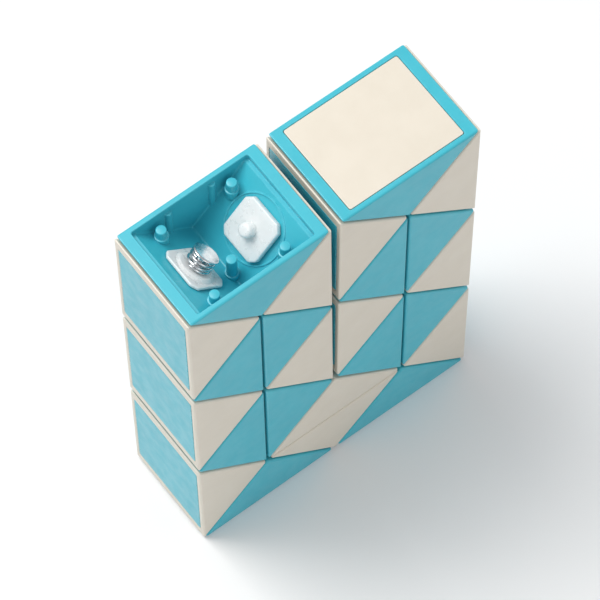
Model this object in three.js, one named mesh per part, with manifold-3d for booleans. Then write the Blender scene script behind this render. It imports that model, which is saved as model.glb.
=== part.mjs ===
// Twisty snake puzzle: 24 hollow wedges in two alternating colours, chained by 23 spring-loaded
// pivots and folded into a closed upright block, four half-widths wide and six tall.
//
// Units are millimetres. X runs along the block's width, Y along its depth (front is -Y) and Z up.
// The origin is at the middle of the block's base.
//
// Each wedge is a right isosceles prism. Its two square walls carry the pivots, its two end walls
// are triangles, and its long rectangular side is open and is closed by a snap-in cover.

import * as THREE from 'three';
import { mergeVertices } from 'three/addons/utils/BufferGeometryUtils.js';
import Module from 'manifold-3d';

const wasm = await Module();
wasm.setup();

// ---- Overall sizes ----
const LEG = 20; // pitch of the pivot faces: the short side of a wedge's triangle
const DEPTH = 20; // depth of a wedge, equal to LEG so that the pivot faces are square
const FACE_GAP = 0.4; // air between any two neighbouring wedges
const STACK_LEAN = 0.42; // degrees that each side stack leans outwards, taken up by pivot slack

// ---- Shell ----
const LEG_WALL = 1.3; // the two walls that carry the pivots
const END_WALL = 1.0; // the two triangular walls
const COVER_RIM = 2.3; // shell left outside the cover along each acute edge

// ---- Cover ----
const COVER_THICKNESS = 0.9;
const COVER_GAP = 0.25; // air all round the cover and under it

// ---- Pivot, measured along its axis from the plane between two wedges ----
const SHAFT_RADIUS = 2.0;
const SHAFT_CLEARANCE = 0.4; // radial air round the shaft
const SEAT_GAP = 0.2; // axial air between stacked pivot pieces
const CATCH_SLACK = 0.45; // axial air under the head of a plain captive pivot
const CATCH_RADIUS = 3.2; // head of a plain captive pivot
const CATCH_THICKNESS = 1.0;

// ---- Pivot pieces modelled one by one ----
const FLANGE_ACROSS_FLATS = 8.4; // square flange of a stud or a bush, in line with the wedge
const FLANGE_CORNER_CUT = 1.1; // length cut off each of its corners, along its side
const STUD_FLANGE = 1.0;
const NUB_RADIUS = 1.25;
const NUB_HEIGHT = 1.8;
const BUSH_SLEEVE_WALL = 0.6;
const BUSH_SLEEVE_GAP = 0.3; // radial air between the bush's sleeve and the shell
const BUSH_FLANGE = 0.5;
const BUSH_HUB_FOOT_RADIUS = 3.6;
const BUSH_HUB_TOP_RADIUS = 3.0;
const BUSH_HUB_HEIGHT = 0.35; // also the thickness of the seat that the spring presses on
const SPRING_RADIUS = 2.3;
const SPRING_WIRE = 0.45;
const RIVET_HEAD_RADIUS = 2.4;
const RIVET_HEAD = 0.4;
const RIVET_SHANK_RADIUS = 1.0;
const RIVET_BORE_CLEARANCE = 0.3; // radial air round the shank, in the stud and in the hub
const RIVET_DEPTH_IN_STUD = 2.2;
const RIVET_COVER_CLEARANCE = 0.3;

// ---- Inside of the open wedge ----
const POST_RADIUS = 0.9;
const POST_COLLAR_RADIUS = 1.2;
const POST_COLLAR_HEIGHT = 0.3; // above the highest point where the collar meets its leg wall
const POST_TOP_CLEARANCE = 0.35; // between a post and the underside of the missing cover
const POST_OUTSET = 0.5; // from halfway between flange and end wall, towards the wall
const POST_EDGE_GAP = 3.6; // between a post's side and the end of the recess for the cover
const CENTRE_POST_DEPTH = 4.6; // a lower post in the valley, below the underside of the cover
const CENTRE_POST_OFFSET = 2.0; // towards the front
const RIB_RADIUS = 0.65;
const BACK_RIB_OFFSET = 4.2; // two ribs on the back wall, either side of the middle
const FRONT_RIB_OFFSET = 3.8;
const RING_CLEARANCE = 0.43; // from the corners of the stud's flange to the thin raised ring
const RING_WIDTH = 0.35;
const RING_HEIGHT = 0.2;

// ---- Colours ----
const CYAN = 0x3cbee1;
const CREAM = 0xe2dcd0;
const NYLON = 0xeef1ee;
const STEEL = 0xb9bcc0;

// ---- How far shapes reach into or past each other when they are joined or cut ----
const SINK = 0.2;
const OVERCUT = 1;

// ---- Roundness of turned shapes ----
const PLAIN_SIDES = 16;
const FINE_SIDES = 32;

// ---- Fold: how each pivot joins its two wedges. A straight pivot carries the wedge on by a
// translation; a mirrored pivot leaves both wedges' right angles at the same corner. ----
const WEDGES = 24;
const MIRRORED_PIVOTS = new Set([4, 7, 12, 13, 17, 18, 22, 23]);
const OPEN_WEDGE = 23; // its cover is off
const DETAILED_PIVOTS = new Set([22, 23]);

// ---- Values that follow from the sizes above ----
const HALF = LEG / Math.SQRT2; // half of the long side, and the height of the triangle
const INSET = FACE_GAP / 2;
const RISE = HALF - INSET * Math.SQRT2; // height at which the two leg faces meet
const BASE = INSET; // level of the long side's rim
const ACUTE = RISE - BASE; // half-length of the rim
const HALF_DEPTH = DEPTH / 2 - INSET;
const INNER_RISE = RISE - LEG_WALL * Math.SQRT2;
const INNER_HALF_DEPTH = HALF_DEPTH - END_WALL;
const POCKET_HALF_LENGTH = ACUTE - COVER_RIM;
const SEAT_LEVEL = BASE + COVER_THICKNESS + COVER_GAP;
const WALL_INNER = INSET + LEG_WALL; // inner side of a leg wall, along a pivot's axis
const BORE_RADIUS = SHAFT_RADIUS + SHAFT_CLEARANCE;
const SLEEVE_RADIUS = BORE_RADIUS + BUSH_SLEEVE_WALL;
const RIVET_HOLE_RADIUS = RIVET_SHANK_RADIUS + RIVET_BORE_CLEARANCE;
const SHAFT_END = WALL_INNER + BUSH_FLANGE; // SEAT_GAP short of the bush's hub
const FLANGE_HALF = FLANGE_ACROSS_FLATS / 2;
const RING_INNER = Math.hypot(FLANGE_HALF, FLANGE_HALF - FLANGE_CORNER_CUT) + RING_CLEARANCE;
const RIVET_TOP =
  (HALF / 2 - SEAT_LEVEL + COVER_GAP - RIVET_COVER_CLEARANCE) * Math.SQRT2 - RIVET_HEAD_RADIUS;

// ---- Solids ----

function solidOf(geometry) {
  geometry.deleteAttribute('normal');
  geometry.deleteAttribute('uv');
  const merged = mergeVertices(geometry, 1e-5);
  return new wasm.Manifold(
    new wasm.Mesh({
      numProp: 3,
      vertProperties: new Float32Array(merged.attributes.position.array),
      triVerts: new Uint32Array(merged.index.array),
    }),
  );
}

function geometryOf(solid) {
  const mesh = solid.getMesh();
  const geometry = new THREE.BufferGeometry();
  geometry.setAttribute('position', new THREE.BufferAttribute(mesh.vertProperties, 3));
  geometry.setIndex(new THREE.BufferAttribute(mesh.triVerts, 1));
  geometry.computeVertexNormals();
  return geometry;
}

// A polygon in the wedge's end view, (x, z) points, pulled out along Y from -halfDepth to halfDepth.
function prism(points, halfDepth) {
  const shape = new THREE.Shape(points.map(([x, z]) => new THREE.Vector2(x, z)));
  const geometry = new THREE.ExtrudeGeometry(shape, { depth: 2 * halfDepth, bevelEnabled: false });
  geometry.translate(0, 0, -halfDepth);
  geometry.rotateX(Math.PI / 2);
  return solidOf(geometry);
}

// A triangle with a level long side and its right angle above the middle.
function roof(base, rise, halfDepth) {
  return prism([[base - rise, base], [rise - base, base], [0, rise]], halfDepth);
}

function cone(fromRadius, toRadius, from, to, sides) {
  const geometry = new THREE.CylinderGeometry(toRadius, fromRadius, to - from, sides);
  geometry.translate(0, (from + to) / 2, 0);
  return geometry;
}

function rod(radius, from, to, sides) {
  return cone(radius, radius, from, to, sides);
}

// A square plate with clipped corners, from `from` to `to` along Y. It is set cornerwise here,
// and the turn in onLeg brings its sides in line with the wedge's edges.
function clippedPlate(from, to) {
  const half = FLANGE_HALF;
  const cut = half - FLANGE_CORNER_CUT;
  const outline = [
    [half, cut], [cut, half], [-cut, half], [-half, cut],
    [-half, -cut], [-cut, -half], [cut, -half], [half, -cut],
  ];
  const shape = new THREE.Shape(outline.map(([x, y]) => new THREE.Vector2(x, y)));
  const geometry = new THREE.ExtrudeGeometry(shape, { depth: to - from, bevelEnabled: false });
  geometry.rotateZ(Math.PI / 4);
  geometry.rotateX(Math.PI / 2);
  geometry.translate(0, to, 0);
  return geometry;
}

// A tube with its bore left open, turned about Y.
function tube(inner, outer, from, to, sides) {
  const profile = [[inner, from], [outer, from], [outer, to], [inner, to], [inner, from]];
  return new THREE.LatheGeometry(profile.map(([r, y]) => new THREE.Vector2(r, y)), sides);
}

// ---- Placing pivot pieces on a wedge: their own axis is Y, which is carried to the leg face's
// outward normal. side is +1 for the leg on the +X side of the wedge and -1 for the other. ----

function onLeg(geometry, side) {
  const normal = new THREE.Vector3(side, 0, 1).normalize();
  const turn = new THREE.Quaternion().setFromUnitVectors(new THREE.Vector3(0, 1, 0), normal);
  geometry.applyQuaternion(turn);
  geometry.translate((side * HALF) / 2, 0, HALF / 2);
  return geometry;
}

function legSolid(geometry, side) {
  return solidOf(onLeg(geometry, side));
}

// ---- Shell and cover ----

function plainShell() {
  const pocket = new THREE.BoxGeometry(
    2 * POCKET_HALF_LENGTH,
    2 * INNER_HALF_DEPTH,
    SEAT_LEVEL,
  );
  pocket.translate(0, 0, SEAT_LEVEL / 2);
  const seatHalf = INNER_RISE - SEAT_LEVEL;
  const hollow = prism(
    [[-seatHalf, SEAT_LEVEL - SINK], [seatHalf, SEAT_LEVEL - SINK], [seatHalf, SEAT_LEVEL],
      [0, INNER_RISE], [-seatHalf, SEAT_LEVEL]],
    INNER_HALF_DEPTH,
  );
  return roof(BASE, RISE, HALF_DEPTH).subtract(solidOf(pocket)).subtract(hollow);
}

function cutBore(shell, side, radius, sides) {
  return shell.subtract(legSolid(rod(radius, -WALL_INNER - OVERCUT, OVERCUT, sides), side));
}

// A captive pivot joined to the shell: its shaft crosses the neighbour's wall and ends in a head.
function addCatch(shell, side) {
  const seat = WALL_INNER + CATCH_SLACK;
  const shaft = rod(SHAFT_RADIUS, -WALL_INNER + SINK, seat + SINK, PLAIN_SIDES);
  const head = rod(CATCH_RADIUS, seat, seat + CATCH_THICKNESS, PLAIN_SIDES);
  return shell.add(legSolid(shaft, side)).add(legSolid(head, side));
}

function coverGeometry() {
  const geometry = new THREE.BoxGeometry(
    2 * (POCKET_HALF_LENGTH - COVER_GAP),
    2 * (INNER_HALF_DEPTH - COVER_GAP),
    COVER_THICKNESS,
  );
  geometry.translate(0, 0, BASE + COVER_THICKNESS / 2);
  return geometry;
}

// ---- Posts, ribs and ring inside the open wedge ----

function upright(radius, x, y, from, to, sides) {
  const geometry = rod(radius, from, to, sides);
  geometry.rotateX(Math.PI / 2);
  geometry.translate(x, y, 0);
  return solidOf(geometry);
}

// A stepped post standing on the leg wall under it, its foot sunk into that wall.
function addPost(shell, x, y, top) {
  const wallLevel = INNER_RISE - Math.abs(x);
  const collarTop = wallLevel - POST_COLLAR_RADIUS - POST_COLLAR_HEIGHT;
  const foot = wallLevel + LEG_WALL / 2;
  return shell
    .add(upright(POST_RADIUS, x, y, top, foot, PLAIN_SIDES))
    .add(upright(POST_COLLAR_RADIUS, x, y, collarTop, foot, PLAIN_SIDES));
}

// A half-round rib up an end wall. end is -1 for the front wall and +1 for the back one.
function addRib(shell, x, end) {
  const foot = INNER_RISE - Math.abs(x) + LEG_WALL / 2;
  const y = end * INNER_HALF_DEPTH;
  return shell.add(upright(RIB_RADIUS, x, y, SEAT_LEVEL + POST_TOP_CLEARANCE, foot, PLAIN_SIDES));
}

function addRing(shell, side) {
  const inner = -WALL_INNER - RING_HEIGHT;
  const outer = RING_INNER + RING_WIDTH;
  const ring = tube(RING_INNER, outer, inner, -WALL_INNER + SINK, FINE_SIDES);
  return shell.add(legSolid(ring, side));
}

function furnish(shell, studSide) {
  const postX = POCKET_HALF_LENGTH - POST_EDGE_GAP - POST_RADIUS;
  const postY = (FLANGE_HALF + INNER_HALF_DEPTH) / 2 + POST_OUTSET;
  const top = SEAT_LEVEL + POST_TOP_CLEARANCE;
  let solid = addPost(shell, 0, -CENTRE_POST_OFFSET, SEAT_LEVEL + CENTRE_POST_DEPTH);
  for (const side of [-1, 1]) {
    for (const end of [-1, 1]) {
      solid = addPost(solid, side * postX, end * postY, top);
    }
    solid = addRib(solid, side * BACK_RIB_OFFSET, 1);
  }
  solid = addRib(solid, -studSide * FRONT_RIB_OFFSET, -1);
  return addRing(solid, studSide);
}

// ---- Separate pivot pieces. Their Y axis points out of the wedge that the leg face belongs to.
// A stud and a rivet turn with the wedge after the pivot, a bush and a spring with the one
// before it. Along Y the wedge before the pivot is at negative values in its own frame. ----

// Flange, shaft and nub as seen from the wedge that holds the flange.
function studGeometry(side) {
  const flangeOuter = -WALL_INNER - SEAT_GAP;
  const flange = clippedPlate(flangeOuter - STUD_FLANGE, flangeOuter);
  const shaft = rod(SHAFT_RADIUS, flangeOuter - SINK, SHAFT_END, FINE_SIDES);
  const nubTop = flangeOuter - STUD_FLANGE - NUB_HEIGHT;
  const nub = rod(NUB_RADIUS, nubTop, flangeOuter - STUD_FLANGE / 2, FINE_SIDES);
  const bore = rod(
    RIVET_HOLE_RADIUS,
    SHAFT_END - RIVET_DEPTH_IN_STUD - RIVET_BORE_CLEARANCE,
    SHAFT_END + OVERCUT,
    FINE_SIDES,
  );
  return geometryOf(
    legSolid(flange, side)
      .add(legSolid(shaft, side))
      .add(legSolid(nub, side))
      .subtract(legSolid(bore, side)),
  );
}

// Sleeve in the wall's bore, flange on the wall's inner side and a low tapered hub. The shaft ends
// under the hub, and the rivet's shank goes on through the hub's narrower hole.
function bushGeometry(side) {
  const flangeOuter = -WALL_INNER - SEAT_GAP;
  const flangeInner = flangeOuter - BUSH_FLANGE;
  const hubTop = flangeInner - BUSH_HUB_HEIGHT;
  const flange = clippedPlate(flangeInner, flangeOuter);
  const sleeve = rod(SLEEVE_RADIUS, flangeOuter - SINK, -INSET, FINE_SIDES);
  const hub = cone(
    BUSH_HUB_TOP_RADIUS,
    BUSH_HUB_FOOT_RADIUS,
    hubTop,
    flangeInner + SINK,
    FINE_SIDES,
  );
  const bore = rod(BORE_RADIUS, flangeInner, OVERCUT, FINE_SIDES);
  const hole = rod(RIVET_HOLE_RADIUS, hubTop - OVERCUT, OVERCUT, FINE_SIDES);
  return geometryOf(
    legSolid(flange, side)
      .add(legSolid(sleeve, side))
      .add(legSolid(hub, side))
      .subtract(legSolid(bore, side))
      .subtract(legSolid(hole, side)),
  );
}

// The compressed spring's outer shape: a short tube between the bush's hub and the rivet's head.
function springGeometry(side) {
  const foot = WALL_INNER + 2 * SEAT_GAP + BUSH_FLANGE + BUSH_HUB_HEIGHT;
  const top = RIVET_TOP - RIVET_HEAD - SEAT_GAP;
  const inner = SPRING_RADIUS - SPRING_WIRE;
  return onLeg(tube(inner, SPRING_RADIUS, -top, -foot, FINE_SIDES), side);
}

function rivetGeometry(side) {
  const head = rod(RIVET_HEAD_RADIUS, -RIVET_TOP, -RIVET_TOP + RIVET_HEAD, FINE_SIDES);
  const shank = rod(
    RIVET_SHANK_RADIUS,
    -RIVET_TOP + RIVET_HEAD / 2,
    -SHAFT_END + RIVET_DEPTH_IN_STUD,
    FINE_SIDES,
  );
  return geometryOf(legSolid(head, side).add(legSolid(shank, side)));
}

// ---- Fold: corner points are counted in units of HALF, from the block's lower left corner ----

function foldedChain() {
  const start = { apex: [0, 4], entry: [1, 5], exit: [1, 3] };
  const chain = [start];
  for (let pivot = 1; pivot < WEDGES; pivot += 1) {
    const last = chain[pivot - 1];
    const mirrored = MIRRORED_PIVOTS.has(pivot);
    const apex = mirrored ? last.apex : last.exit;
    const entry = mirrored ? last.exit : last.apex;
    const exit = [
      apex[0] - last.entry[0] + last.apex[0],
      apex[1] - last.entry[1] + last.apex[1],
    ];
    chain.push({ apex, entry, exit });
  }
  return chain;
}

const chain = foldedChain();
const columns = chain.flatMap(({ apex, entry, exit }) => [apex[0], entry[0], exit[0]]);
const middle = (Math.min(...columns) + Math.max(...columns)) / 2;

function place(group, { apex, entry, exit }) {
  const centre = [(entry[0] + exit[0]) / 2, (entry[1] + exit[1]) / 2];
  const turn = Math.atan2(apex[0] - centre[0], apex[1] - centre[1]);
  group.rotation.y = turn;
  group.position.set((centre[0] - middle) * HALF, 0, centre[1] * HALF);
  const along = (entry[0] - centre[0]) * Math.cos(turn) - (entry[1] - centre[1]) * Math.sin(turn);
  return along > 0 ? 1 : -1;
}

// The two side stacks lean apart about the middle of the base, and the two wedges between them
// stay upright. The block then stands on the outer edges of its lowest wedges.
function stackOf({ apex, entry, exit }) {
  const centre = (apex[0] + entry[0] + exit[0]) / 3;
  return Math.sign(Math.round((centre - middle) * 3));
}

const lean = THREE.MathUtils.degToRad(STACK_LEAN);
const edgeDrop = (HALF + ACUTE) * Math.sin(lean) - BASE * Math.cos(lean);
const stacks = new Map([-1, 0, 1].map((side) => [side, new THREE.Group()]));

// ---- Assembly ----

const snake = new THREE.Group();
snake.position.z = edgeDrop;
stacks.forEach((stack, side) => {
  stack.rotation.y = side * lean;
  snake.add(stack);
});

function addPiece(group, name, geometry, color, roughness, metalness) {
  const material = new THREE.MeshStandardMaterial({ color, roughness, metalness });
  const mesh = new THREE.Mesh(geometry, material);
  mesh.name = name;
  group.add(mesh);
}

chain.forEach((link, index) => {
  const number = index + 1;
  const tag = String(number).padStart(2, '0');
  const shellColor = number % 2 === 1 ? CYAN : CREAM;
  const coverColor = number % 2 === 1 ? CREAM : CYAN;
  const group = new THREE.Group();
  const entrySide = place(group, link);
  const exitSide = -entrySide;
  stacks.get(stackOf(link)).add(group);

  const pivotBefore = number > 1 ? number - 1 : 0;
  const pivotAfter = number < WEDGES ? number : 0;
  let shell = plainShell();
  if (number === OPEN_WEDGE) {
    shell = furnish(shell, entrySide);
  }
  if (DETAILED_PIVOTS.has(pivotAfter)) {
    const sleeveHole = SLEEVE_RADIUS + BUSH_SLEEVE_GAP;
    shell = cutBore(shell, exitSide, sleeveHole, FINE_SIDES);
    const name = `pivot_${String(pivotAfter).padStart(2, '0')}`;
    addPiece(group, `${name}_bush`, bushGeometry(exitSide), NYLON, 0.4, 0);
    addPiece(group, `${name}_spring`, springGeometry(exitSide), STEEL, 0.25, 1);
    addPiece(group, `${name}_rivet`, rivetGeometry(exitSide), STEEL, 0.2, 1);
  } else if (pivotAfter) {
    shell = cutBore(shell, exitSide, BORE_RADIUS, PLAIN_SIDES);
  }
  if (DETAILED_PIVOTS.has(pivotBefore)) {
    shell = cutBore(shell, entrySide, BORE_RADIUS, FINE_SIDES);
    const name = `pivot_${String(pivotBefore).padStart(2, '0')}`;
    addPiece(group, `${name}_stud`, studGeometry(entrySide), NYLON, 0.35, 0);
  } else if (pivotBefore) {
    shell = addCatch(shell, entrySide);
  }
  addPiece(group, `wedge_${tag}_shell`, geometryOf(shell), shellColor, 0.4, 0);
  if (number !== OPEN_WEDGE) {
    addPiece(group, `wedge_${tag}_cover`, coverGeometry(), coverColor, 0.4, 0);
  }
});

export default snake;
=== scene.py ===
"""Looks of the twisty snake puzzle: 24 hollow two-colour wedges, their snap-in covers, and the
spring-loaded pivots seen inside the one wedge whose cover is off.

Shapes are made in millimetres in a wedge's own frame: X along the open long side, Y through the
depth and Z towards the right angle. They are then placed in the row frame, in metres.
"""

import math

import bmesh
import bpy
from mathutils import Matrix, Quaternion, Vector


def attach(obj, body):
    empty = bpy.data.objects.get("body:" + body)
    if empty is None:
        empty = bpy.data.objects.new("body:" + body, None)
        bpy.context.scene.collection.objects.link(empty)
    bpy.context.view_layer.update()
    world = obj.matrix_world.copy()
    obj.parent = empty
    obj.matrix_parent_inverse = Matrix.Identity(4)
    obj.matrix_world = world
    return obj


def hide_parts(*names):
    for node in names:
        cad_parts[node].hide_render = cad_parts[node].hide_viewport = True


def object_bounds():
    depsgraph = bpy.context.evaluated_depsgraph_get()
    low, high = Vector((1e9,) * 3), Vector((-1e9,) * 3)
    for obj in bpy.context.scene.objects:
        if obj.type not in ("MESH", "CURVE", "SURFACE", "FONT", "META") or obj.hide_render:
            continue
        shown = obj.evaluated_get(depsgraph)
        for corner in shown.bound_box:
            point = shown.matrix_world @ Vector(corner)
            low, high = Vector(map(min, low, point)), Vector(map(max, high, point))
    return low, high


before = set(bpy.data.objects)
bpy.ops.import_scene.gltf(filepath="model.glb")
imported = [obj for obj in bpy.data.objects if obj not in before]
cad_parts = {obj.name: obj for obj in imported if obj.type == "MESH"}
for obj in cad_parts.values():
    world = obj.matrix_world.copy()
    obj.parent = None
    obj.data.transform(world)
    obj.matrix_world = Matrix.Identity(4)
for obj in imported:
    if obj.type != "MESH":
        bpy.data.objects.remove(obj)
cad_low, cad_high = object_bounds()
centre = (cad_low + cad_high) / 2

MM = 0.001

# ---- Sizes shared with the CAD part, in millimetres ----
LEG = 20.0
DEPTH = 20.0
FACE_GAP = 0.4
STACK_LEAN = math.radians(0.42)
LEG_WALL = 1.3
END_WALL = 1.0
COVER_RIM = 2.3
COVER_THICKNESS = 0.9
COVER_GAP = 0.25
SHAFT_RADIUS = 2.0
SHAFT_CLEARANCE = 0.4
SEAT_GAP = 0.2
CATCH_SLACK = 0.45
CATCH_RADIUS = 3.2
CATCH_THICKNESS = 1.0
FLANGE_ACROSS_FLATS = 8.4
FLANGE_CORNER_CUT = 1.1
STUD_FLANGE = 1.0
NUB_RADIUS = 1.25
NUB_HEIGHT = 1.8
BUSH_SLEEVE_WALL = 0.6
BUSH_SLEEVE_GAP = 0.3
BUSH_FLANGE = 0.5
BUSH_HUB_FOOT_RADIUS = 3.6
BUSH_HUB_TOP_RADIUS = 3.0
BUSH_HUB_HEIGHT = 0.35
SPRING_RADIUS = 2.3
SPRING_WIRE = 0.45
RIVET_HEAD_RADIUS = 2.4
RIVET_HEAD = 0.4
RIVET_SHANK_RADIUS = 1.0
RIVET_BORE_CLEARANCE = 0.3
RIVET_DEPTH_IN_STUD = 2.2
RIVET_COVER_CLEARANCE = 0.3
POST_RADIUS = 0.9
POST_COLLAR_RADIUS = 1.2
POST_COLLAR_HEIGHT = 0.3
POST_TOP_CLEARANCE = 0.35
POST_OUTSET = 0.5
POST_EDGE_GAP = 3.6
CENTRE_POST_DEPTH = 4.6
CENTRE_POST_OFFSET = 2.0
RIB_RADIUS = 0.65
BACK_RIB_OFFSET = 4.2
FRONT_RIB_OFFSET = 3.8
RING_CLEARANCE = 0.43
RING_WIDTH = 0.35
RING_HEIGHT = 0.2

# ---- Roundings of the moulded edges ----
SHELL_EDGE = 0.42
ACUTE_EDGE = 0.2
LEAST_EDGE = 0.03
VALLEY_FILLET = 0.5
POCKET_CORNER = 0.35
POCKET_LIP = 0.1
COVER_EDGE = 0.1
COVER_INNER_EDGE = 0.05
COVER_SEAM = 0.09  # seen round a cover's rim; the cover fills its recess up to it
CATCH_EDGE = 0.12
FLANGE_CORNER = 0.45
FLANGE_EDGE = 0.22
STUD_OUTER_EDGE = 0.08
BUSH_OUTER_EDGE = 0.06
NUB_EDGE = 0.5
HUB_EDGE = 0.1
POST_EDGE = 0.2
POST_STEP_FILLET = 0.1
RIB_EDGE = 0.18
FOOT_EDGE = 0.05
ROD_END_EDGE = 0.02

# ---- Spring and rivet ----
SPRING_TURNS = 3.0
SPRING_END_EASE = 0.55  # 0 gives an even pitch and 1 gives flat end turns
RIVET_DOME = 0.1
RIVET_DOME_STEPS = 9
RIVET_RIM = ((0.96, 0.03), (0.99, 0.09), (1.0, 0.16))  # share of the radius, depth under the dome
RIVET_UNDER_EDGE = 0.04
RIVET_NECK = 0.1
RIVET_TIP = 0.2

# ---- How far shapes reach into or past each other when they are joined or cut ----
SINK = 0.2
OVERCUT = 1
POCKET_OVERLAP = 0.5

SHARP_ANGLE = math.radians(32)
ON_AXIS = 1e-6
TOUCHING = 0.01
FLOOR_HALF = 3.0

# ---- Fold ----
WEDGES = 24
MIRRORED_PIVOTS = {4, 7, 12, 13, 17, 18, 22, 23}
OPEN_WEDGE = 23
DETAILED_PIVOTS = {22, 23}
BLOCK_MIDDLE = 2  # column at the middle of the block, in units of HALF

# ---- Values that follow ----
HALF = LEG / math.sqrt(2)
INSET = FACE_GAP / 2
RISE = HALF - INSET * math.sqrt(2)
BASE = INSET
ACUTE = RISE - BASE
HALF_DEPTH = DEPTH / 2 - INSET
INNER_RISE = RISE - LEG_WALL * math.sqrt(2)
INNER_HALF_DEPTH = HALF_DEPTH - END_WALL
POCKET_HALF_LENGTH = ACUTE - COVER_RIM
SEAT_LEVEL = BASE + COVER_THICKNESS + COVER_GAP
WALL_INNER = INSET + LEG_WALL
BORE_RADIUS = SHAFT_RADIUS + SHAFT_CLEARANCE
SLEEVE_RADIUS = BORE_RADIUS + BUSH_SLEEVE_WALL
RIVET_TOP = (
    HALF / 2 - SEAT_LEVEL + COVER_GAP - RIVET_COVER_CLEARANCE
) * math.sqrt(2) - RIVET_HEAD_RADIUS
FLANGE_OUTER = -WALL_INNER - SEAT_GAP
FLANGE_HALF = FLANGE_ACROSS_FLATS / 2
RIVET_HOLE_RADIUS = RIVET_SHANK_RADIUS + RIVET_BORE_CLEARANCE
SHAFT_END = WALL_INNER + BUSH_FLANGE
RING_INNER = math.hypot(FLANGE_HALF, FLANGE_HALF - FLANGE_CORNER_CUT) + RING_CLEARANCE


# ---- Outlines ----


def rounded(points, radii, steps=4, closed=True):
    """The polygon or open path with an arc at each corner: one radius, or one for each corner."""
    corners = [Vector(p) for p in points]
    if isinstance(radii, (int, float)):
        radii = [radii] * len(corners)
    made = []
    for i, (corner, radius) in enumerate(zip(corners, radii)):
        if not closed and i in (0, len(corners) - 1):
            made.append(corner)
            continue
        back = (corners[i - 1] - corner).normalized()
        ahead = (corners[(i + 1) % len(corners)] - corner).normalized()
        half_angle = back.angle(ahead) / 2
        centre = corner + (back + ahead).normalized() * radius / math.sin(half_angle)
        start = (corner + back * radius / math.tan(half_angle) - centre).normalized()
        end = (corner + ahead * radius / math.tan(half_angle) - centre).normalized()
        for step in range(steps + 1):
            made.append(centre + start.slerp(end, step / steps) * radius)
    return made


def rectangle(half_x, half_y):
    return [(half_x, -half_y), (half_x, half_y), (-half_x, half_y), (-half_x, -half_y)]


def clipped_square(shrink):
    """A square with its corners cut at 45 degrees, every side moved in by shrink."""
    half = FLANGE_HALF - shrink
    cut = FLANGE_HALF - FLANGE_CORNER_CUT - shrink * (math.sqrt(2) - 1)
    return [
        (half, -cut), (half, cut), (cut, half), (-cut, half),
        (-half, cut), (-half, -cut), (-cut, -half), (cut, -half),
    ]


# ---- Solids, as bmeshes in millimetres ----


def loft(rings):
    """A closed solid through rings of points, capped at both ends."""
    bm = bmesh.new()
    rows = [[bm.verts.new(p) for p in ring] for ring in rings]
    for low, high in zip(rows, rows[1:]):
        for i in range(len(low)):
            j = (i + 1) % len(low)
            bm.faces.new((low[i], low[j], high[j], high[i]))
    bm.faces.new(rows[0])
    bm.faces.new(rows[-1])
    bmesh.ops.recalc_face_normals(bm, faces=bm.faces)
    return bm


def plate(outline_of, low, high, edge_low, edge_high, steps=3):
    """A flat plate whose outline is outline_of(shrink), with its edges rounded at each end."""
    rings = []
    for step in range(steps + 1):
        angle = math.pi / 2 * step / steps
        shrink = edge_low * (1 - math.sin(angle))
        rings.append((low + edge_low * (1 - math.cos(angle)), shrink))
    for step in range(steps + 1):
        angle = math.pi / 2 * step / steps
        shrink = edge_high * (1 - math.cos(angle))
        rings.append((high - edge_high * (1 - math.sin(angle)), shrink))
    return loft([[(x, y, z) for x, y in outline_of(shrink)] for z, shrink in rings])


def turned(profile, sides):
    """A solid turned about Z from (radius, z) points that start and end on the axis."""
    bm = bmesh.new()
    rows = []
    for radius, z in profile:
        if radius < ON_AXIS:
            rows.append([bm.verts.new((0, 0, z))])
            continue
        rows.append([
            bm.verts.new((radius * math.cos(a), radius * math.sin(a), z))
            for a in (2 * math.pi * i / sides for i in range(sides))
        ])
    for low, high in zip(rows, rows[1:]):
        for i in range(sides):
            j = (i + 1) % sides
            below = [low[i % len(low)], low[j % len(low)]]
            above = [high[j % len(high)], high[i % len(high)]]
            bm.faces.new(list(dict.fromkeys(below + above)))
    bmesh.ops.recalc_face_normals(bm, faces=bm.faces)
    return bm


def turned_ring(section, sides):
    """A ring about Z from a closed section of (radius, z) points."""
    bm = bmesh.new()
    rows = [
        [bm.verts.new((r * math.cos(a), r * math.sin(a), z)) for r, z in section]
        for a in (2 * math.pi * i / sides for i in range(sides))
    ]
    count = len(section)
    for i, row in enumerate(rows):
        following = rows[(i + 1) % sides]
        for k in range(count):
            m = (k + 1) % count
            bm.faces.new((row[k], row[m], following[m], following[k]))
    bmesh.ops.recalc_face_normals(bm, faces=bm.faces)
    return bm


def rod(radius, low, high, edge=0.0, sides=32):
    """A cylinder along Z; edge rounds its rim at the low end."""
    path = [(0, low), (radius, low), (radius, high), (0, high)]
    if edge:
        path = rounded(path, [0, edge, ROD_END_EDGE, 0], steps=3, closed=False)
    return turned(path, sides)


def prism(points, half_depth):
    rings = [[(x, y, z) for x, z in points] for y in (-half_depth, half_depth)]
    return loft(rings)


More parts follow.
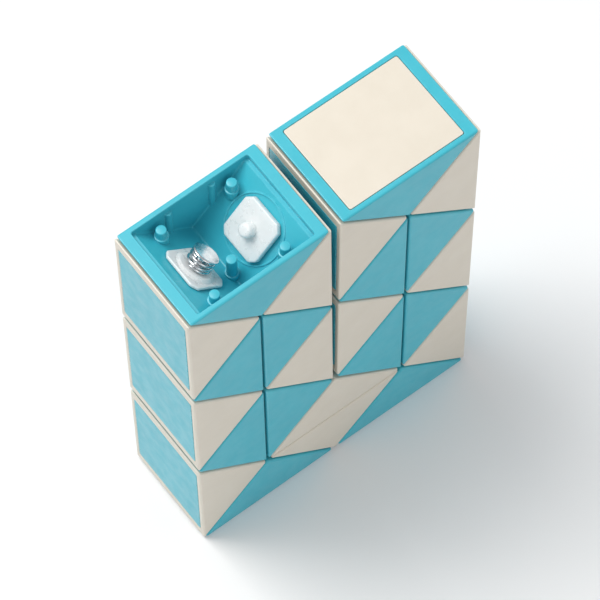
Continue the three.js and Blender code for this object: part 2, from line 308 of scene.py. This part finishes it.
def helix(radius, wire, low, high, turns, steps=40, sides=12):
    """A coil of round wire whose end turns lie flatter than the middle ones."""
    bm = bmesh.new()
    count = int(turns * steps)
    rows = []
    for i in range(count + 1):
        share = i / count
        eased = share - math.sin(2 * math.pi * share) / (2 * math.pi) * SPRING_END_EASE
        angle = 2 * math.pi * turns * share
        out = Vector((math.cos(angle), math.sin(angle), 0))
        centre = out * radius + Vector((0, 0, low + (high - low) * eased))
        rows.append([
            bm.verts.new(
                centre
                + out * wire / 2 * math.cos(2 * math.pi * k / sides)
                + Vector((0, 0, wire / 2 * math.sin(2 * math.pi * k / sides)))
            )
            for k in range(sides)
        ])
    for low_row, high_row in zip(rows, rows[1:]):
        for k in range(sides):
            m = (k + 1) % sides
            bm.faces.new((low_row[k], low_row[m], high_row[m], high_row[k]))
    bm.faces.new(rows[0])
    bm.faces.new(rows[-1])
    bmesh.ops.recalc_face_normals(bm, faces=bm.faces)
    return bm


def leg_frame(side):
    """Carries +Z to a leg face's outward normal and the origin to the face's centre."""
    normal = Vector((side, 0, 1)).normalized()
    depth = Vector((0, 1, 0))
    slope = depth.cross(normal)
    turn = Matrix((slope, depth, normal)).transposed().to_4x4()
    return Matrix.Translation((side * HALF / 2, 0, HALF / 2)) @ turn


def on_leg(bm, side):
    bm.transform(leg_frame(side))
    return bm


# ---- Booleans ----


def work_object(bm):
    mesh = bpy.data.meshes.new("work")
    bm.to_mesh(mesh)
    bm.free()
    made = bpy.data.objects.new("work", mesh)
    bpy.context.scene.collection.objects.link(made)
    return made


def combine(body, steps):
    """Applies (operation, bmesh) steps to a bmesh in order and returns the resulting mesh."""
    target = work_object(body)
    tools = []
    for operation, bm in steps:
        tool = work_object(bm)
        tools.append(tool)
        modifier = target.modifiers.new("combine", "BOOLEAN")
        modifier.operation = operation
        modifier.solver = "EXACT"
        modifier.object = tool
    bpy.context.view_layer.update()
    evaluated = target.evaluated_get(bpy.context.evaluated_depsgraph_get())
    mesh = bpy.data.meshes.new_from_object(evaluated)
    for made in [target, *tools]:
        old = made.data
        bpy.data.objects.remove(made)
        bpy.data.meshes.remove(old)
    return mesh


# ---- Shell ----


def end_view(shrink):
    """The wedge's rounded triangle in (x, z), every side moved in by shrink."""
    base = BASE + shrink
    rise = RISE - shrink * math.sqrt(2)
    acute = max(ACUTE_EDGE - shrink, LEAST_EDGE)
    square = max(SHELL_EDGE - shrink, LEAST_EDGE)
    return rounded([(base - rise, base), (rise - base, base), (0, rise)], [acute, acute, square])


def outer_body():
    bm = plate(end_view, -HALF_DEPTH, HALF_DEPTH, SHELL_EDGE, SHELL_EDGE, steps=4)
    bm.transform(Matrix.Rotation(math.pi / 2, 4, "X"))
    return bm


def pocket_outline(shrink):
    half_x = POCKET_HALF_LENGTH - shrink
    half_y = INNER_HALF_DEPTH - shrink
    return rounded(rectangle(half_x, half_y), POCKET_CORNER, 4)


def pocket():
    """The recess that the cover drops into, with a rounded lip where it meets the rim."""
    steps = 3
    levels = [(BASE - OVERCUT, -POCKET_LIP), (BASE, -POCKET_LIP)]
    for step in range(1, steps + 1):
        angle = math.pi / 2 * step / steps
        levels.append((BASE + POCKET_LIP * math.sin(angle), -POCKET_LIP * (1 - math.sin(angle))))
    levels.append((SEAT_LEVEL, 0.0))
    return loft([[(x, y, z) for x, y in pocket_outline(shrink)] for z, shrink in levels])


def hollow():
    """The space under the cover. It is filleted along the valley and round both end walls."""
    seat_half = INNER_RISE - SEAT_LEVEL
    low = SEAT_LEVEL - POCKET_OVERLAP
    bm = prism(
        [(-seat_half, low), (seat_half, low), (seat_half, SEAT_LEVEL),
         (0, INNER_RISE), (-seat_half, SEAT_LEVEL)],
        INNER_HALF_DEPTH,
    )
    valley = [
        edge for edge in bm.edges
        if max(v.co.z for v in edge.verts) > INNER_RISE - TOUCHING
    ]
    bmesh.ops.bevel(
        bm, geom=valley, offset=VALLEY_FILLET, offset_type="OFFSET", segments=3,
        profile=0.5, affect="EDGES", clamp_overlap=True,
    )
    return bm


def catch(side):
    """A captive pivot moulded on the shell: shaft through the neighbour's wall and its head."""
    seat = WALL_INNER + CATCH_SLACK
    top = seat + CATCH_THICKNESS
    profile = rounded(
        [(0, -WALL_INNER + SINK), (SHAFT_RADIUS, -WALL_INNER + SINK), (SHAFT_RADIUS, seat),
         (CATCH_RADIUS, seat), (CATCH_RADIUS, top), (0, top)],
        CATCH_EDGE, steps=2, closed=False,
    )
    return on_leg(turned(profile, sides=32), side)


def bore(side, radius):
    return on_leg(rod(radius, -WALL_INNER - OVERCUT, OVERCUT, sides=48), side)


def post(x, y, top):
    """A stepped post on the leg wall under it; its free end points out of the opening."""
    wall_level = INNER_RISE - abs(x)
    collar = wall_level - POST_COLLAR_RADIUS - POST_COLLAR_HEIGHT
    foot = wall_level + LEG_WALL / 2
    profile = rounded(
        [(0, top), (POST_RADIUS, top), (POST_RADIUS, collar), (POST_COLLAR_RADIUS, collar),
         (POST_COLLAR_RADIUS, foot), (0, foot)],
        [0, POST_EDGE, POST_STEP_FILLET, POST_EDGE / 2, FOOT_EDGE, 0], steps=3, closed=False,
    )
    bm = turned(profile, sides=32)
    bm.transform(Matrix.Translation((x, y, 0)))
    return bm


def rib(x, end):
    """A half-round rib up an end wall; end is -1 for the front wall and +1 for the back one."""
    foot = INNER_RISE - abs(x) + LEG_WALL / 2
    bm = rod(RIB_RADIUS, SEAT_LEVEL + POST_TOP_CLEARANCE, foot, edge=RIB_EDGE, sides=24)
    bm.transform(Matrix.Translation((x, end * INNER_HALF_DEPTH, 0)))
    return bm


def wall_ring(side):
    inner = -WALL_INNER - RING_HEIGHT
    sunk = -WALL_INNER + SINK
    shoulder = -WALL_INNER - RING_HEIGHT / 2
    outer = RING_INNER + RING_WIDTH
    section = [
        (RING_INNER, sunk), (outer, sunk), (outer, shoulder),
        (outer - RING_WIDTH / 4, inner), (RING_INNER + RING_WIDTH / 4, inner),
        (RING_INNER, shoulder),
    ]
    return on_leg(turned_ring(section, sides=96), side)


def furniture(stud_side):
    """Posts, ribs and ring inside the open wedge."""
    post_x = POCKET_HALF_LENGTH - POST_EDGE_GAP - POST_RADIUS
    post_y = (FLANGE_HALF + INNER_HALF_DEPTH) / 2 + POST_OUTSET
    top = SEAT_LEVEL + POST_TOP_CLEARANCE
    made = [post(0, -CENTRE_POST_OFFSET, SEAT_LEVEL + CENTRE_POST_DEPTH)]
    for side in (-1, 1):
        made += [post(side * post_x, end * post_y, top) for end in (-1, 1)]
        made.append(rib(side * BACK_RIB_OFFSET, 1))
    return [*made, rib(-stud_side * FRONT_RIB_OFFSET, -1), wall_ring(stud_side)]


# ---- Cover and separate pivot pieces ----


def cover_outline(shrink):
    half_x = POCKET_HALF_LENGTH - COVER_SEAM - shrink
    half_y = INNER_HALF_DEPTH - COVER_SEAM - shrink
    return rounded(rectangle(half_x, half_y), POCKET_CORNER, 4)


def cover_mesh():
    bm = plate(cover_outline, BASE, BASE + COVER_THICKNESS, COVER_EDGE, COVER_INNER_EDGE)
    return combine(bm, [])


def flange(low, high, edge_low, edge_high):
    return plate(
        lambda shrink: rounded(clipped_square(shrink), FLANGE_CORNER - shrink, 4),
        low, high, edge_low, edge_high,
    )


def stud_mesh(side):
    inner = FLANGE_OUTER - STUD_FLANGE
    nub_foot = FLANGE_OUTER - STUD_FLANGE / 2
    nub_path = rounded(
        [(0, inner - NUB_HEIGHT), (NUB_RADIUS, inner - NUB_HEIGHT), (NUB_RADIUS, nub_foot),
         (0, nub_foot)],
        [0, NUB_EDGE, FOOT_EDGE, 0], steps=5, closed=False,
    )
    shaft = rod(SHAFT_RADIUS, FLANGE_OUTER - SINK, SHAFT_END, sides=48)
    hole = rod(
        RIVET_HOLE_RADIUS,
        SHAFT_END - RIVET_DEPTH_IN_STUD - RIVET_BORE_CLEARANCE,
        SHAFT_END + OVERCUT,
    )
    return combine(
        on_leg(flange(inner, FLANGE_OUTER, FLANGE_EDGE, STUD_OUTER_EDGE), side),
        [
            ("UNION", on_leg(shaft, side)),
            ("UNION", on_leg(turned(nub_path, sides=40), side)),
            ("DIFFERENCE", on_leg(hole, side)),
        ],
    )


def bush_mesh(side):
    """The shaft's bore ends under the hub, and the hub has a narrower hole for the rivet."""
    flange_inner = FLANGE_OUTER - BUSH_FLANGE
    hub_top = flange_inner - BUSH_HUB_HEIGHT
    hub_foot = flange_inner + SINK
    hub_path = rounded(
        [(0, hub_top), (BUSH_HUB_TOP_RADIUS, hub_top), (BUSH_HUB_FOOT_RADIUS, flange_inner),
         (BUSH_HUB_FOOT_RADIUS, hub_foot), (0, hub_foot)],
        HUB_EDGE, steps=3, closed=False,
    )
    sleeve = rod(SLEEVE_RADIUS, FLANGE_OUTER - SINK, -INSET, sides=48)
    shaft_bore = rod(BORE_RADIUS, flange_inner, OVERCUT, sides=48)
    rivet_hole = rod(RIVET_HOLE_RADIUS, hub_top - OVERCUT, OVERCUT, sides=48)
    return combine(
        on_leg(flange(flange_inner, FLANGE_OUTER, FLANGE_EDGE, BUSH_OUTER_EDGE), side),
        [
            ("UNION", on_leg(sleeve, side)),
            ("UNION", on_leg(turned(hub_path, sides=48), side)),
            ("DIFFERENCE", on_leg(shaft_bore, side)),
            ("DIFFERENCE", on_leg(rivet_hole, side)),
        ],
    )


def spring_mesh(side):
    foot = WALL_INNER + 2 * SEAT_GAP + BUSH_FLANGE + BUSH_HUB_HEIGHT
    top = RIVET_TOP - RIVET_HEAD - SEAT_GAP
    coil = helix(
        SPRING_RADIUS - SPRING_WIRE / 2, SPRING_WIRE,
        -top + SPRING_WIRE / 2, -foot - SPRING_WIRE / 2, SPRING_TURNS,
    )
    return combine(on_leg(coil, side), [])


def rivet_mesh(side):
    """A slightly domed head with a rolled rim, and the shank down into the stud."""
    shank_end = -SHAFT_END + RIVET_DEPTH_IN_STUD
    head_foot = -RIVET_TOP + RIVET_HEAD
    profile = [(0, -RIVET_TOP)]
    for step in range(1, RIVET_DOME_STEPS):
        share = step / RIVET_DOME_STEPS
        profile.append((RIVET_HEAD_RADIUS * share, -RIVET_TOP + RIVET_DOME * share ** 2))
    for share, below in RIVET_RIM:
        profile.append((RIVET_HEAD_RADIUS * share, -RIVET_TOP + RIVET_DOME + below))
    edge_share, flank_share = RIVET_RIM[0][0], RIVET_RIM[1][0]
    profile += [
        (RIVET_HEAD_RADIUS * flank_share, head_foot - RIVET_UNDER_EDGE),
        (RIVET_HEAD_RADIUS * edge_share, head_foot),
        (RIVET_SHANK_RADIUS + RIVET_NECK, head_foot),
        (RIVET_SHANK_RADIUS, head_foot + RIVET_NECK),
        (RIVET_SHANK_RADIUS, shank_end - RIVET_TIP),
        (RIVET_SHANK_RADIUS - RIVET_TIP, shank_end),
        (0, shank_end),
    ]
    return combine(on_leg(turned(profile, sides=48), side), [])


# ---- Materials ----


class Nodes:
    """A material's node tree with a few shorthands."""

    def __init__(self, name):
        self.material = bpy.data.materials.new(name)
        self.material.use_nodes = True
        self.tree = self.material.node_tree
        self.shader = self.tree.nodes["Principled BSDF"]
        self.coords = self.tree.nodes.new("ShaderNodeTexCoord").outputs["Object"]

    def link(self, output, socket):
        self.tree.links.new(output, socket)

    def noise(self, scale, detail=2.0, roughness=0.5, stretch=None, distortion=0.0):
        node = self.tree.nodes.new("ShaderNodeTexNoise")
        node.inputs["Scale"].default_value = scale
        node.inputs["Detail"].default_value = detail
        node.inputs["Roughness"].default_value = roughness
        node.inputs["Distortion"].default_value = distortion
        source = self.coords
        if stretch:
            mapping = self.tree.nodes.new("ShaderNodeMapping")
            mapping.inputs["Scale"].default_value = stretch
            mapping.inputs["Rotation"].default_value = (0.4, 0.7, 0.2)
            self.link(source, mapping.inputs["Vector"])
            source = mapping.outputs["Vector"]
        self.link(source, node.inputs["Vector"])
        return node.outputs["Fac"]

    def remap(self, value, low, high, to_low=0.0, to_high=1.0):
        node = self.tree.nodes.new("ShaderNodeMapRange")
        node.interpolation_type = "SMOOTHSTEP"
        node.inputs["From Min"].default_value = low
        node.inputs["From Max"].default_value = high
        node.inputs["To Min"].default_value = to_low
        node.inputs["To Max"].default_value = to_high
        self.link(value, node.inputs["Value"])
        return node.outputs["Result"]

    def math(self, operation, a, b):
        node = self.tree.nodes.new("ShaderNodeMath")
        node.operation = operation
        for socket, value in zip(node.inputs, (a, b)):
            if isinstance(value, (int, float)):
                socket.default_value = value
            else:
                self.link(value, socket)
        return node.outputs["Value"]

    def mix(self, factor, first, second):
        node = self.tree.nodes.new("ShaderNodeMix")
        node.data_type = "RGBA"
        self.link(factor, node.inputs["Factor"])
        for name, value in (("A", first), ("B", second)):
            socket = next(s for s in node.inputs if s.name == name and s.type == "RGBA")
            if isinstance(value, tuple):
                socket.default_value = (*value, 1)
            else:
                self.link(value, socket)
        return next(s for s in node.outputs if s.type == "RGBA")

    def bump(self, height, strength, distance, normal=None):
        node = self.tree.nodes.new("ShaderNodeBump")
        node.inputs["Strength"].default_value = strength
        node.inputs["Distance"].default_value = distance
        self.link(height, node.inputs["Height"])
        if normal:
            self.link(normal, node.inputs["Normal"])
        return node.outputs["Normal"]

    def edges(self, radius):
        """1 along the rounded edges and 0 on flat faces."""
        bevel = self.tree.nodes.new("ShaderNodeBevel")
        bevel.samples = 4
        bevel.inputs["Radius"].default_value = radius
        geometry = self.tree.nodes.new("ShaderNodeNewGeometry")
        dot = self.tree.nodes.new("ShaderNodeVectorMath")
        dot.operation = "DOT_PRODUCT"
        self.link(bevel.outputs["Normal"], dot.inputs[0])
        self.link(geometry.outputs["Normal"], dot.inputs[1])
        return self.remap(dot.outputs["Value"], low=0.995, high=0.86)

    def set(self, **values):
        for name, value in values.items():
            self.shader.inputs[name.replace("_", " ")].default_value = value

    def scratches(self, scale, width):
        """Sparse hairlines: the level lines of a stretched noise, broken up by a second one."""
        field = self.noise(scale, detail=1.0, stretch=(1.0, 0.16, 0.4), distortion=0.3)
        distance = self.math("ABSOLUTE", self.math("SUBTRACT", field, 0.5), 0.0)
        lines = self.remap(distance, low=width, high=0.0)
        patches = self.remap(self.noise(scale=150), low=0.56, high=0.7)
        return self.math("MULTIPLY", lines, patches)

    def even_scatter(self, radius):
        """Light spreads the same way in all three colours, over the given radius."""
        self.set(Subsurface_Scale=radius)
        self.shader.inputs["Subsurface Radius"].default_value = (1.0, 1.0, 1.0)


def moulded_plastic(name, color, deep, edge_highlight, gloss):
    """Satin moulded plastic: faint flow mottling, fine grain, hairlines, and edges made glossier
    and painted lighter as a highlight.
    """
    n = Nodes(name)
    flow = n.remap(n.noise(scale=190, detail=3.0, roughness=0.55), low=0.3, high=0.7)
    rub_and_highlight_patches = n.remap(n.noise(scale=900), low=0.3, high=0.62)
    edge = n.math("MULTIPLY", n.edges(0.45 * MM), rub_and_highlight_patches)
    scratch = n.scratches(scale=620, width=0.006)
    tone = n.mix(flow, deep, color)
    # Painted highlight: along the rounded edges the colour is mixed toward a lighter one, broken
    # up by patches of noise.
    n.link(n.mix(n.math("MULTIPLY", edge, 0.6), tone, edge_highlight), n.shader.inputs["Base Color"])
    grain = n.noise(scale=420, detail=4.0, roughness=0.6)
    rough = n.remap(grain, 0.3, 0.7, to_low=gloss - 0.05, to_high=gloss + 0.07)
    rough = n.math("SUBTRACT", rough, n.math("MULTIPLY", edge, 0.1))
    rough = n.math("ADD", rough, n.math("MULTIPLY", scratch, 0.14))
    n.link(rough, n.shader.inputs["Roughness"])
    normal = n.bump(n.noise(scale=560, detail=1.0), strength=0.28, distance=0.02 * MM)
    normal = n.bump(n.noise(scale=7200), 0.22, 0.006 * MM, normal)
    normal = n.bump(n.math("SUBTRACT", 1.0, scratch), 0.3, 0.006 * MM, normal)
    n.link(normal, n.shader.inputs["Normal"])
    n.set(IOR=1.53, Subsurface_Weight=0.12)
    n.even_scatter(0.6 * MM)
    return n.material


def milky_nylon():
    """Translucent white plastic with faint clouds and a soft sheen."""
    n = Nodes("milky_nylon")
    cloud = n.remap(n.noise(scale=520, detail=3.0, roughness=0.6), low=0.3, high=0.7)
    n.link(n.mix(cloud, (0.86, 0.9, 0.9), (0.9, 0.93, 0.93)), n.shader.inputs["Base Color"])
    rough = n.remap(n.noise(scale=800, detail=4.0), 0.3, 0.7, to_low=0.24, to_high=0.4)
    n.link(rough, n.shader.inputs["Roughness"])
    normal = n.bump(n.noise(scale=700, detail=1.0), strength=0.2, distance=0.008 * MM)
    n.link(normal, n.shader.inputs["Normal"])
    n.set(IOR=1.53, Subsurface_Weight=0.75, Transmission_Weight=0.12)
    n.even_scatter(1.2 * MM)
    return n.material


def plated_steel(name, stretch):
    """Bright plated steel with fine drawing marks along one direction."""
    n = Nodes(name)
    brushed = n.noise(scale=2600, detail=3.0, roughness=0.6, stretch=stretch)
    tint = n.remap(n.noise(scale=700, detail=3.0), low=0.3, high=0.7)
    n.link(n.mix(tint, (0.66, 0.67, 0.69), (0.82, 0.82, 0.83)), n.shader.inputs["Base Color"])
    rough = n.remap(brushed, 0.3, 0.7, to_low=0.14, to_high=0.28)
    n.link(rough, n.shader.inputs["Roughness"])
    n.link(n.bump(brushed, strength=0.25, distance=0.004 * MM), n.shader.inputs["Normal"])
    n.set(Metallic=1.0)
    return n.material


def pale_floor():
    """A near-white matt sheet with broad, faint variation."""
    n = Nodes("pale_floor")
    cloud = n.remap(n.noise(scale=9), low=0.3, high=0.7)
    n.link(n.mix(cloud, (0.90, 0.905, 0.91), (0.93, 0.933, 0.936)), n.shader.inputs["Base Color"])
    rough = n.remap(n.noise(scale=60, detail=3.0), 0.3, 0.7, to_low=0.6, to_high=0.75)
    n.link(rough, n.shader.inputs["Roughness"])
    return n.material


# The lightest colour of each plastic is a painted highlight, mixed in along the rounded edges.
CYAN = moulded_plastic(
    "cyan_abs",
    color=(0.050, 0.480, 0.590),
    deep=(0.045, 0.455, 0.565),
    edge_highlight=(0.16, 0.62, 0.73),
    gloss=0.34,
)
CREAM = moulded_plastic(
    "cream_abs",
    color=(0.735, 0.675, 0.575),
    deep=(0.715, 0.655, 0.555),
    edge_highlight=(0.84, 0.80, 0.74),
    gloss=0.38,
)
NYLON = milky_nylon()
COIL_STEEL = plated_steel("coil_steel", stretch=(1.0, 1.0, 1.0))
RIVET_STEEL = plated_steel("rivet_steel", stretch=(0.2, 1.0, 1.0))


# ---- Placing ----


def folded_chain():
    """Corner points of each wedge, counted in units of HALF, from the pivot list."""
    chain = [((0, 4), (1, 5), (1, 3))]
    for pivot in range(1, WEDGES):
        last_apex, last_entry, last_exit = chain[-1]
        mirrored = pivot in MIRRORED_PIVOTS
        apex = last_apex if mirrored else last_exit
        entry = last_exit if mirrored else last_apex
        step = (last_apex[0] - last_entry[0], last_apex[1] - last_entry[1])
        chain.append((apex, entry, (apex[0] + step[0], apex[1] + step[1])))
    return chain


def placement(apex, entry, leaving):
    """A wedge's matrix in millimetres, and the side of its entry leg."""
    centre = Vector(((entry[0] + leaving[0]) / 2, (entry[1] + leaving[1]) / 2))
    turn = math.atan2(apex[0] - centre.x, apex[1] - centre.y)
    column = apex[0] + entry[0] + leaving[0] - 3 * BLOCK_MIDDLE
    stack = (column > 0) - (column < 0)
    drop = (HALF + ACUTE) * math.sin(STACK_LEAN) - BASE * math.cos(STACK_LEAN)
    along = (entry[0] - centre.x) * math.cos(turn) - (entry[1] - centre.y) * math.sin(turn)
    matrix = (
        Matrix.Translation((0, 0, drop))
        @ Matrix.Rotation(stack * STACK_LEAN, 4, "Y")
        @ Matrix.Translation(((centre.x - BLOCK_MIDDLE) * HALF, 0, centre.y * HALF))
        @ Matrix.Rotation(turn, 4, "Y")
    )
    return matrix, 1 if along > 0 else -1


def add_piece(name, mesh, matrix, material, body, node):
    """A finished piece at its place, riding on its body instead of the CAD node."""
    mesh.transform(Matrix.Scale(MM, 4) @ matrix)
    mesh.materials.clear()
    mesh.materials.append(material)
    mesh.shade_smooth()
    mesh.set_sharp_from_angle(angle=SHARP_ANGLE)
    piece = bpy.data.objects.new(name, mesh)
    bpy.context.scene.collection.objects.link(piece)
    weighted = piece.modifiers.new("weighted normals", "WEIGHTED_NORMAL")
    weighted.keep_sharp = True
    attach(piece, body)
    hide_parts(node)


def add_bush_spring_rivet(pivot, matrix, side):
    """The pieces seen inside the wedge before a pivot; the rivet turns with the wedge after it."""
    for kind, make, material, slot, rider in (
        ("bush", bush_mesh, NYLON, "white_nylon", pivot),
        ("spring", spring_mesh, COIL_STEEL, "steel", pivot),
        ("rivet", rivet_mesh, RIVET_STEEL, "steel", pivot + 1),
    ):
        add_piece(
            f"{kind}_{pivot:02d}", make(side), matrix, material,
            f"wedge_{rider:02d}", f"pivot_{pivot:02d}_{kind}",
        )


def add_stud(pivot, matrix, side):
    add_piece(
        f"stud_{pivot:02d}", stud_mesh(side), matrix, NYLON,
        f"wedge_{pivot + 1:02d}", f"pivot_{pivot:02d}_stud",
    )


def add_wedge(number, matrix, entry_side):
    """A shell with the pivot pieces in its two walls, and its cover unless it is the open one."""
    tag = f"{number:02d}"
    body = f"wedge_{tag}"
    exit_side = -entry_side
    plastics = [(CYAN, "cyan_plastic"), (CREAM, "cream_plastic")]
    if number % 2 == 0:
        plastics.reverse()
    (shell_material, shell_slot), (cover_material, cover_slot) = plastics
    steps = [("DIFFERENCE", pocket()), ("DIFFERENCE", hollow())]
    if number == OPEN_WEDGE:
        steps += [("UNION", bm) for bm in furniture(entry_side)]
    if number in DETAILED_PIVOTS:
        steps.append(("DIFFERENCE", bore(exit_side, SLEEVE_RADIUS + BUSH_SLEEVE_GAP)))
        add_bush_spring_rivet(number, matrix, exit_side)
    elif number < WEDGES:
        steps.append(("DIFFERENCE", bore(exit_side, BORE_RADIUS)))
    pivot_before = number - 1
    if pivot_before in DETAILED_PIVOTS:
        steps.append(("DIFFERENCE", bore(entry_side, BORE_RADIUS)))
        add_stud(pivot_before, matrix, entry_side)
    elif pivot_before > 0:
        steps.append(("UNION", catch(entry_side)))
    shell = combine(outer_body(), steps)
    add_piece(f"shell_{tag}", shell, matrix, shell_material, body, f"{body}_shell")
    if number != OPEN_WEDGE:
        cover = cover_mesh()
        add_piece(f"cover_{tag}", cover, matrix, cover_material, body, f"{body}_cover")


for number, link in enumerate(folded_chain(), start=1):
    add_wedge(number, *placement(*link))


# ---- Floor, light and camera ----


def add_floor():
    bm = bmesh.new()
    outline = rectangle(FLOOR_HALF, FLOOR_HALF)
    corners = [bm.verts.new((x, y, cad_low.z)) for x, y in outline]
    bm.faces.new(corners)
    mesh = bpy.data.meshes.new("floor")
    bm.to_mesh(mesh)
    bm.free()
    mesh.materials.append(pale_floor())
    floor = bpy.data.objects.new("floor", mesh)
    bpy.context.scene.collection.objects.link(floor)


def direction(azimuth, elevation):
    """Unit vector from the object towards a viewpoint; azimuth 0 is straight in front."""
    a, e = math.radians(azimuth), math.radians(elevation)
    return Vector((math.sin(a) * math.cos(e), -math.cos(a) * math.cos(e), math.sin(e)))


def add_softbox(name, azimuth, elevation, distance, size, power, color):
    light = bpy.data.lights.new(name, "AREA")
    light.shape = "SQUARE"
    light.size = size
    light.energy = power
    light.color = color
    box = bpy.data.objects.new(name, light)
    toward = direction(azimuth, elevation)
    box.location = centre + toward * distance
    box.rotation_mode = "QUATERNION"
    box.rotation_quaternion = (-toward).to_track_quat("-Z", "Y")
    bpy.context.scene.collection.objects.link(box)


def add_camera(azimuth, elevation, roll, distance, lens):
    data = bpy.data.cameras.new("camera")
    data.sensor_width = 36
    data.lens = lens
    data.clip_start, data.clip_end = 0.01, 10
    camera = bpy.data.objects.new("camera", data)
    toward = direction(azimuth, elevation)
    camera.location = centre + toward * distance
    camera.rotation_mode = "QUATERNION"
    level = (-toward).to_track_quat("-Z", "Y")
    camera.rotation_quaternion = level @ Quaternion((0, 0, 1), math.radians(roll))
    bpy.context.scene.collection.objects.link(camera)
    bpy.context.scene.camera = camera


def set_colour_response():
    """Plain sRGB, so that a material's colour reads as the plastic's own."""
    settings = bpy.context.scene.view_settings
    settings.view_transform = "Standard"
    settings.look = "None"


def add_sky(color, strength):
    world = bpy.data.worlds.new("studio")
    world.use_nodes = True
    background = world.node_tree.nodes["Background"]
    background.inputs["Color"].default_value = (*color, 1)
    background.inputs["Strength"].default_value = strength
    bpy.context.scene.world = world


set_colour_response()
add_floor()
add_sky(color=(0.96, 0.975, 1.0), strength=0.50)
add_softbox(
    "key", azimuth=-150, elevation=62, distance=0.7, size=0.40, power=3.9, color=(1.0, 0.99, 0.97),
)
add_softbox(
    "fill", azimuth=-10, elevation=40, distance=0.9, size=0.6, power=1.25,
    color=(1.0, 0.985, 0.965),
)
add_camera(azimuth=-36.4, elevation=64.2, roll=-0.7, distance=0.757, lens=276)
